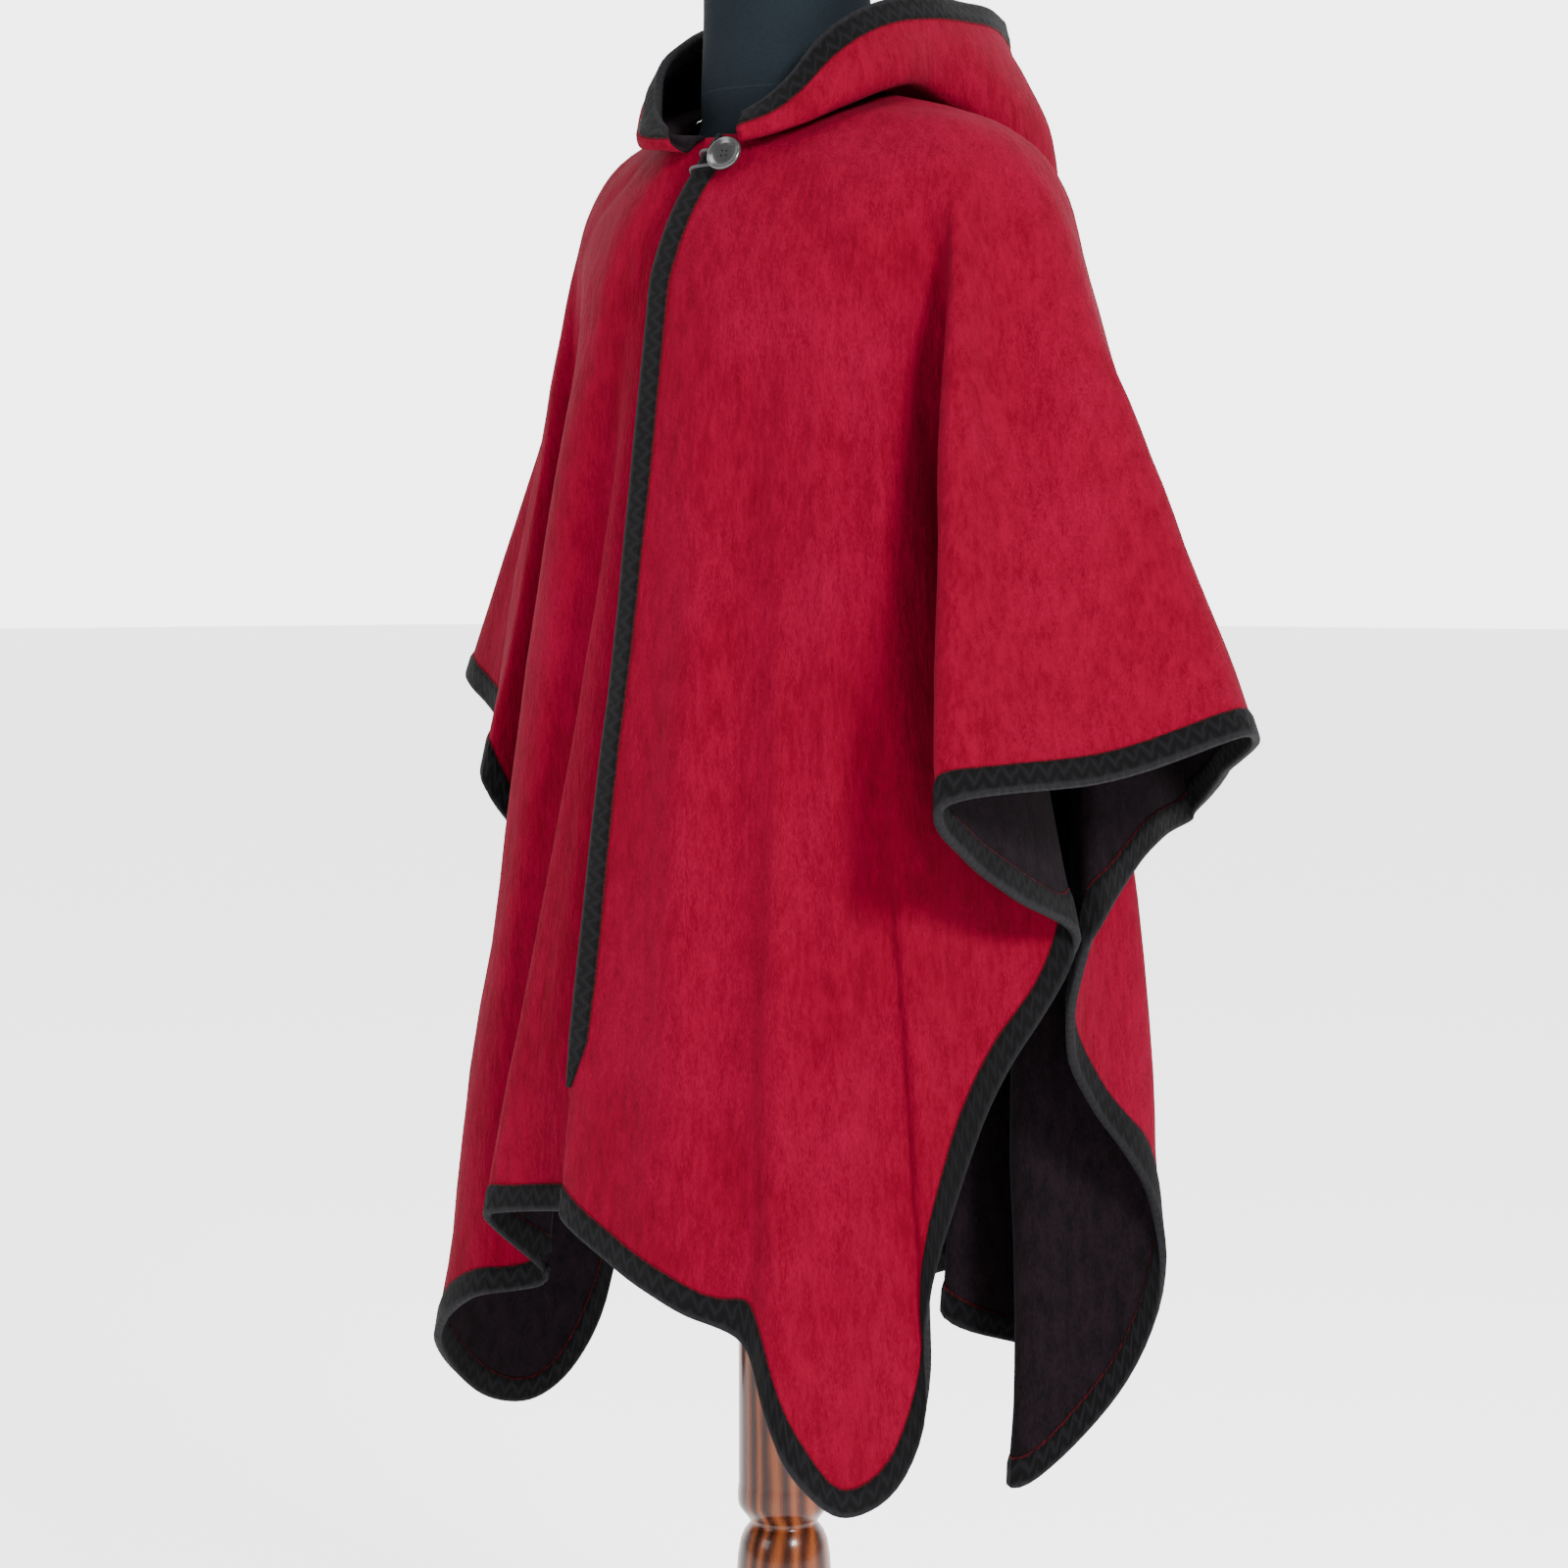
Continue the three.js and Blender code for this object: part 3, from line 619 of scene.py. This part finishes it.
def braidPiece(name, places, closed):
    # braid folded over the edge: its cross-sections are bridged, and an open strip gets two ends
    count = len(places[0]) - (1 if closed else 0)
    steps = count + 1 if closed else count
    along = [0.0]
    for n in range(1, steps):
        along.append(along[-1] + (places[0][n % count][0] - places[0][(n - 1) % count][0]).length)
    sections = [braidSection(places, n) for n in range(count)]
    around = len(sections[0])
    spots = [spot for section in sections for spot, across in section]
    acrosses = [across for spot, across in sections[0]]
    faces = []
    corners = []
    for n in range(steps - 1):
        here = n * around
        after = (n + 1) % count * around
        for k in range(around):
            up = (k + 1) % around
            faces.append((here + k, after + k, after + up, here + up))
            corners.append([(along[n], acrosses[k]), (along[n + 1], acrosses[k]),
                            (along[n + 1], acrosses[up]), (along[n], acrosses[up])])
    if not closed:
        order = list(range(around))
        for end, turn in ((0, order), (count - 1, order[::-1])):
            faces.append([end * around + k for k in turn])
            corners.append([(along[end], acrosses[k]) for k in turn])
    mesh = bpy.data.meshes.new(name)
    mesh.from_pydata(spots, [], faces)
    layer = mesh.uv_layers.new(name="braid")
    layer.data.foreach_set("uv", [number for corner in corners for pair in corner for number in pair])
    mesh.materials.append(braidCloth)
    piece = bpy.data.objects.new(name, mesh)
    bpy.context.collection.objects.link(piece)
    useOnly(piece)
    bpy.ops.object.mode_set(mode="EDIT")
    bpy.ops.mesh.select_all(action="SELECT")
    bpy.ops.mesh.normals_make_consistent(inside=False)
    bpy.ops.object.mode_set(mode="OBJECT")
    smoothShaded(piece)
    return piece


def rippled(piece, size, heightSquash, amount):
    # slow unevenness of hanging wool, longer downwards than across
    mesh = piece.data
    normals = [vert.normal.copy() for vert in mesh.vertices]
    for vert, normal in zip(mesh.vertices, normals):
        spot = Vector((vert.co.x / size, vert.co.y / size, vert.co.z / (size * heightSquash)))
        vert.co += normal * amount * noise.noise(spot)


creaseReach = 2.5  # in crease widths, where the side of a crease has died out


def creased(piece, creases):
    mesh = piece.data
    normals = [vert.normal.copy() for vert in mesh.vertices]
    for crease in creases:
        top, bottom = Vector(crease["top"]), Vector(crease["bottom"])
        run = bottom - top
        for vert, normal in zip(mesh.vertices, normals):
            share = (vert.co - top).dot(run) / run.length_squared
            away = (vert.co - (top + run * share)).length
            if 0.0 < share < 1.0 and away < crease["width"] * creaseReach:
                fade = math.sin(math.pi * share) ** 0.6
                vert.co += normal * crease["height"] * fade * math.exp(-((away / crease["width"]) ** 2))


def walled(piece):
    applied(piece, "SOLIDIFY", thickness=clothWall, offset=-1.0, material_offset=1, material_offset_rim=1)
    smoothShaded(piece)


# soft creases, each a straight run, listed one by one: troughs have a negative height
bodyCreases = [
    {"top": (0.045, -0.130, 1.22), "bottom": (0.090, -0.222, 0.62), "width": 0.022, "height": 0.006},
    {"top": (0.074, -0.122, 1.26), "bottom": (0.134, -0.209, 0.60), "width": 0.026, "height": -0.008},
    {"top": (0.112, -0.109, 1.27), "bottom": (0.186, -0.172, 0.54), "width": 0.017, "height": -0.010},
    {"top": (0.126, -0.100, 1.27), "bottom": (0.224, -0.150, 0.46), "width": 0.015, "height": 0.007},
    {"top": (0.160, -0.078, 1.27), "bottom": (0.240, -0.090, 0.62), "width": 0.020, "height": 0.006},
    {"top": (0.186, -0.048, 1.30), "bottom": (0.262, -0.006, 0.80), "width": 0.022, "height": -0.011},
    {"top": (0.214, -0.036, 1.38), "bottom": (0.300, -0.140, 0.95), "width": 0.014, "height": 0.008},
    {"top": (0.236, -0.020, 1.36), "bottom": (0.335, -0.106, 0.98), "width": 0.022, "height": -0.007},
    {"top": (0.250, 0.006, 1.37), "bottom": (0.372, -0.036, 1.00), "width": 0.018, "height": 0.006},
    {"top": (0.250, 0.052, 1.34), "bottom": (0.366, 0.080, 1.01), "width": 0.020, "height": -0.006},
    {"top": (0.216, 0.094, 1.33), "bottom": (0.284, 0.164, 0.98), "width": 0.018, "height": 0.006},
    {"top": (0.080, -0.078, 1.425), "bottom": (0.205, -0.060, 1.345), "width": 0.011, "height": 0.003},
    {"top": (0.070, -0.088, 1.415), "bottom": (0.170, -0.092, 1.290), "width": 0.013, "height": -0.004},
    {"top": (0.100, -0.050, 1.440), "bottom": (0.226, 0.010, 1.392), "width": 0.012, "height": -0.003},
    {"top": (-0.030, -0.128, 1.24), "bottom": (-0.060, -0.200, 0.70), "width": 0.020, "height": 0.006},
    {"top": (-0.076, -0.122, 1.24), "bottom": (-0.150, -0.190, 0.60), "width": 0.020, "height": -0.008},
    {"top": (-0.110, -0.108, 1.26), "bottom": (-0.236, -0.142, 0.50), "width": 0.016, "height": 0.007},
    {"top": (-0.145, -0.080, 1.28), "bottom": (-0.222, -0.040, 0.56), "width": 0.018, "height": -0.009},
    {"top": (-0.184, -0.045, 1.30), "bottom": (-0.246, 0.030, 0.84), "width": 0.020, "height": -0.009},
    {"top": (-0.216, -0.014, 1.37), "bottom": (-0.290, -0.034, 0.99), "width": 0.015, "height": 0.007},
    {"top": (-0.240, 0.018, 1.35), "bottom": (-0.366, 0.014, 1.03), "width": 0.020, "height": -0.006},
    {"top": (-0.240, 0.062, 1.35), "bottom": (-0.350, 0.100, 1.01), "width": 0.018, "height": 0.006},
    {"top": (-0.084, -0.074, 1.425), "bottom": (-0.200, -0.050, 1.350), "width": 0.012, "height": -0.003},
    {"top": (0.148, 0.162, 1.27), "bottom": (0.214, 0.192, 0.66), "width": 0.018, "height": 0.007},
    {"top": (0.112, 0.175, 1.26), "bottom": (0.142, 0.144, 0.46), "width": 0.018, "height": -0.009},
    {"top": (0.060, 0.195, 1.25), "bottom": (0.072, 0.206, 0.54), "width": 0.022, "height": 0.006},
    {"top": (0.016, 0.202, 1.24), "bottom": (0.012, 0.222, 0.56), "width": 0.020, "height": -0.007},
    {"top": (-0.042, 0.200, 1.26), "bottom": (-0.054, 0.196, 0.52), "width": 0.019, "height": -0.008},
    {"top": (-0.092, 0.188, 1.25), "bottom": (-0.118, 0.228, 0.50), "width": 0.018, "height": 0.007},
    {"top": (-0.128, 0.172, 1.26), "bottom": (-0.190, 0.168, 0.46), "width": 0.018, "height": -0.008},
    {"top": (-0.164, 0.146, 1.27), "bottom": (-0.236, 0.130, 0.74), "width": 0.018, "height": 0.006},
]

# body of the poncho

body = newPiece("ponchoBody", outerSkin("poncho_cloth"))
body.data.materials.append(wool)
body.data.materials.append(inside)
smoothed(body, 2)
creased(body, bodyCreases)
rippled(body, 0.07, 3.0, 0.005)
rippled(body, 0.028, 2.0, 0.0012)
bodyPaths = openPaths(body)
hemPath = next(path for path in bodyPaths if path[0] == path[-1])


def heightOf(n):
    return body.data.vertices[n].co.z


def drop(path):
    heights = [heightOf(n) for n in path]
    return max(heights) - min(heights)


# the slit's path runs down one edge and up the other
slitPath = max((path for path in bodyPaths if path is not hemPath), key=drop)
lowest = min(range(len(slitPath)), key=lambda n: heightOf(slitPath[n]))
halves = [slitPath[:lowest], slitPath[:lowest:-1]]
halves.sort(key=lambda half: body.data.vertices[half[len(half) // 2]].co.y)
leftEdge, rightEdge = halves
rightShort = 30  # places at the lower end that the right braid leaves bare
outerBraid = braidPiece("outerBraid", bandFromRows(body, hemPath, braidSettings["rows"]), True)
leftSlit = braidPiece("slitBraidLeft", bandFromEdge(body, leftEdge), False)
rightSlit = braidPiece("slitBraidRight", bandFromEdge(body, rightEdge[:-rightShort]), False)
walled(body)
print("body hung")

# hood


def sewTo(piece, path, ground, above):
    # the seam edge is brought down onto the cloth it is sewn to
    build = bmesh.new()
    build.from_mesh(ground.data)
    tree = BVHTree.FromBMesh(build)
    for n in path:
        vert = piece.data.vertices[n]
        found, normal, face, far = tree.find_nearest(vert.co)
        vert.co = found + (vert.co - found).normalized() * above
    build.free()


hood = newPiece("hoodShell", outerSkin("hood_cloth"))
hood.data.materials.append(wool)
hood.data.materials.append(inside)
smoothed(hood, 2)
rippled(hood, 0.05, 1.0, 0.003)
hoodPaths = openPaths(hood)
faceEdge = max(hoodPaths, key=lambda path: sum(hood.data.vertices[n].co.z for n in path))
hoodBraid = braidPiece("hoodBraid", bandFromRows(hood, faceEdge, braidSettings["rows"]), False)
seamEdge = max((path for path in hoodPaths if path is not faceEdge), key=len)
sewTo(hood, seamEdge, body, 0.0003)
walled(hood)
print("hood sewn on")


def softCopy(nodeName, pieceName, levels, finish):
    piece = newPiece(pieceName, mergedCopy(nodeName))
    piece.data.materials.append(finish)
    useOnly(piece)
    bpy.ops.object.mode_set(mode="EDIT")
    bpy.ops.mesh.select_all(action="SELECT")
    bpy.ops.mesh.dissolve_limited(angle_limit=math.radians(0.5))
    bpy.ops.mesh.select_all(action="SELECT")
    bpy.ops.mesh.tris_convert_to_quads(face_threshold=math.radians(60), shape_threshold=math.radians(60))
    bpy.ops.object.mode_set(mode="OBJECT")
    smoothed(piece, levels)
    return piece


torso = softCopy("form_torso", "formTorso", 2, cover)
loop = softCopy("button_loop", "loopCord", 1, cordThread)
print("form padded")


def turned(name, rows, sides, finish, smoothAngle=40):
    # round work: each row is a radius and a height, from the bottom up
    radius, height = rows[0]
    bpy.ops.object.select_all(action="DESELECT")
    bpy.ops.mesh.primitive_circle_add(vertices=sides, radius=radius, fill_type="NGON", location=(0, 0, 0))
    piece = bpy.context.active_object
    piece.name = name
    bpy.ops.object.mode_set(mode="EDIT")
    bpy.ops.mesh.select_all(action="SELECT")
    bpy.ops.transform.translate(value=(0, 0, height))
    for nextRadius, nextHeight in rows[1:]:
        bpy.ops.mesh.extrude_region_move(TRANSFORM_OT_translate={"value": (0, 0, nextHeight - height)})
        share = nextRadius / radius
        bpy.ops.transform.resize(value=(share, share, 1), center_override=(0, 0, 0))
        radius, height = nextRadius, nextHeight
    bpy.ops.mesh.select_all(action="SELECT")
    bpy.ops.mesh.normals_make_consistent(inside=False)
    bpy.ops.object.mode_set(mode="OBJECT")
    piece.data.materials.append(finish)
    useOnly(piece)
    bpy.ops.object.shade_smooth_by_angle(angle=math.radians(smoothAngle))
    return piece


poleSettings = {
    "shaft": 0.036,
    "rows": [
        (0.040, 0.0343), (0.0435, 0.0355), (0.044, 0.040), (0.043, 0.0445), (0.038, 0.048),
        (0.033, 0.052), (0.0285, 0.058), (0.026, 0.066), (0.024, 0.080), (0.023, 0.095),
        (0.0232, 0.112), (0.024, 0.126), (0.027, 0.131), (0.031, 0.1365), (0.0335, 0.142),
        (0.034, 0.148), (0.0333, 0.153), (0.031, 0.158), (0.027, 0.163), (0.025, 0.167),
        (0.0246, 0.172), (0.0252, 0.178), (0.0275, 0.190), (0.031, 0.205), (0.034, 0.222),
        (0.0362, 0.240), (0.0375, 0.258), (0.038, 0.275), (0.0382, 0.290), (0.0378, 0.307),
        (0.0366, 0.324), (0.0345, 0.336), (0.0315, 0.343), (0.0285, 0.347), (0.0272, 0.3485),
        (0.0270, 0.350), (0.0272, 0.3515), (0.0285, 0.3535), (0.0325, 0.3585), (0.0355, 0.3625),
        (0.0366, 0.3665), (0.0368, 0.371), (0.0366, 0.3755), (0.0362, 0.3805), (0.036, 0.3825),
    ],
}
poleTop = (poleSettings["shaft"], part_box("stand_pole")[1].z)
pole = turned("turnedPole", [*poleSettings["rows"], poleTop], 96, wood)

footSettings = {
    "rows": [
        (0.180, 0.0), (0.1835, 0.0012), (0.1858, 0.004), (0.186, 0.008), (0.1852, 0.0125),
        (0.182, 0.016), (0.175, 0.0188), (0.160, 0.0212), (0.140, 0.0232), (0.120, 0.0250),
        (0.100, 0.0272), (0.084, 0.0292), (0.078, 0.0308), (0.074, 0.0326), (0.069, 0.0338),
        (0.060, 0.034),
    ],
}
foot = turned("turnedFoot", footSettings["rows"], 128, footWood)
print("stand turned")

buttonSettings = {"radius": 0.014, "back": 0.0036, "thick": 0.004, "holeRadius": 0.0011, "holeApart": 0.0029}


def flatAxis(nodeName):
    # direction that the broad face of a disc-shaped node looks in, away from the form
    build = mergedCopy(nodeName)
    total = Vector()
    for face in build.faces:
        total += face.normal * face.calc_area() * (1 if face.normal.y < 0 else -1)
    towards = total.normalized()
    best = max(build.faces, key=lambda face: face.normal.dot(towards) * face.calc_area() ** 0.25)
    axis = best.normal.copy()
    build.free()
    return axis


def buttonPiece():
    size = buttonSettings
    radius, back = size["radius"], size["back"]
    front = back + size["thick"]
    shank = [(0.0030, 0.0), (0.0028, back * 0.6), (0.0032, back), (0.0090, back)]
    side = [
        (radius - 0.0018, back + 0.0001), (radius - 0.0008, back + 0.0005), (radius - 0.0002, back + 0.0013),
        (radius, back + 0.0021), (radius - 0.0002, front - 0.0011), (radius - 0.0007, front - 0.0004),
    ]
    dish = [
        (radius - 0.0014, front), (radius - 0.0021, front - 0.0001), (radius - 0.0029, front - 0.0006),
        (radius - 0.0042, front - 0.0013), (radius - 0.0060, front - 0.0017), (0.0030, front - 0.0018),
    ]
    piece = turned("hornButton", shank + side + dish, 64, horn, 35)
    for corner in range(4):
        swing = math.radians(45 + 90 * corner)
        place = (size["holeApart"] * math.cos(swing), size["holeApart"] * math.sin(swing), front)
        bpy.ops.object.select_all(action="DESELECT")
        bpy.ops.mesh.primitive_cylinder_add(vertices=16, radius=size["holeRadius"], depth=0.006,
                                            location=place)
        drill = bpy.context.active_object
        applied(piece, "BOOLEAN", operation="DIFFERENCE", object=drill, solver="EXACT")
        bpy.data.objects.remove(drill, do_unlink=True)
    low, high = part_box("button")
    axis = flatAxis("button")
    turn = axis.to_track_quat("Z", "Y")
    seat = (low + high) / 2 - axis * front * 0.5
    for vert in piece.data.vertices:
        vert.co = turn @ vert.co + seat
    useOnly(piece)
    bpy.ops.object.shade_smooth_by_angle(angle=math.radians(35))
    return piece


button = buttonPiece()
print("button sewn on")

pieces = [
    (body, "poncho_cloth", "wool"),
    (hood, "hood_cloth", "wool"),
    (outerBraid, "braid_outer", "braid"),
    (leftSlit, "braid_slit_left", "braid"),
    (rightSlit, "braid_slit_right", "braid"),
    (hoodBraid, "braid_hood", "braid"),
    (loop, "button_loop", "braid"),
    (button, "button", "horn"),
    (torso, "form_torso", "cover"),
    (pole, "stand_pole", "wood"),
    (foot, "stand_foot", "wood"),
]
for piece, node, slotName in pieces:
    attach(piece, "root")
    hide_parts(node)

print("pieces placed")

# floor and light

floorSettings = {"size": 160.0, "colour": (0.95, 0.95, 0.96)}
lightSettings = {"backdrop": (-0.69, 0.72, 0.0), "ambient": 0.5, "floorGlow": 1.6, "behind": 4.6}


def studio():
    bpy.ops.object.select_all(action="DESELECT")
    bpy.ops.mesh.primitive_plane_add(size=floorSettings["size"], location=(0, 0, 0))
    floor = bpy.context.active_object
    floor.name = "studioFloor"
    finish = Finish("paleFloor")
    finish.feed("Base Color", (*floorSettings["colour"], 1.0))
    finish.feed("Roughness", 0.7)
    finish.feed("Emission Color", (1.0, 1.0, 1.0, 1.0))
    finish.feed("Emission Strength", lightSettings["floorGlow"])
    floor.data.materials.append(finish.material)
    world = bpy.data.worlds.new("studioLight")
    world.use_nodes = True
    tree = world.node_tree
    coords = tree.nodes.new("ShaderNodeTexCoord")
    facing = tree.nodes.new("ShaderNodeVectorMath")
    facing.operation = "DOT_PRODUCT"
    facing.inputs[1].default_value = lightSettings["backdrop"]
    share = tree.nodes.new("ShaderNodeMapRange")
    share.inputs["From Min"].default_value = 0.2
    share.inputs["From Max"].default_value = 0.8
    share.inputs["To Min"].default_value = lightSettings["ambient"]
    share.inputs["To Max"].default_value = lightSettings["behind"]
    tree.links.new(coords.outputs["Generated"], facing.inputs[0])
    tree.links.new(facing.outputs["Value"], share.inputs["Value"])
    tree.links.new(share.outputs["Result"], tree.nodes["Background"].inputs["Strength"])
    tree.nodes["Background"].inputs["Color"].default_value = (1.0, 1.0, 1.0, 1.0)
    bpy.context.scene.world = world
    lamps = [
        ("keyLamp", (4.0, -1.2, 3.0), 470.0, 1.0),
        ("fillLamp", (-0.6, -4.0, 2.2), 80.0, 1.6),
        ("topLamp", (1.0, -1.0, 6.0), 260.0, 3.0),
    ]
    for name, place, power, size in lamps:
        data = bpy.data.lights.new(name, "AREA")
        data.energy = power
        data.size = size
        lamp = bpy.data.objects.new(name, data)
        lamp.location = place
        lamp.rotation_euler = (Vector((0, 0, 1.0)) - Vector(place)).to_track_quat("-Z", "Y").to_euler()
        bpy.context.collection.objects.link(lamp)


studio()
print("studio lit")
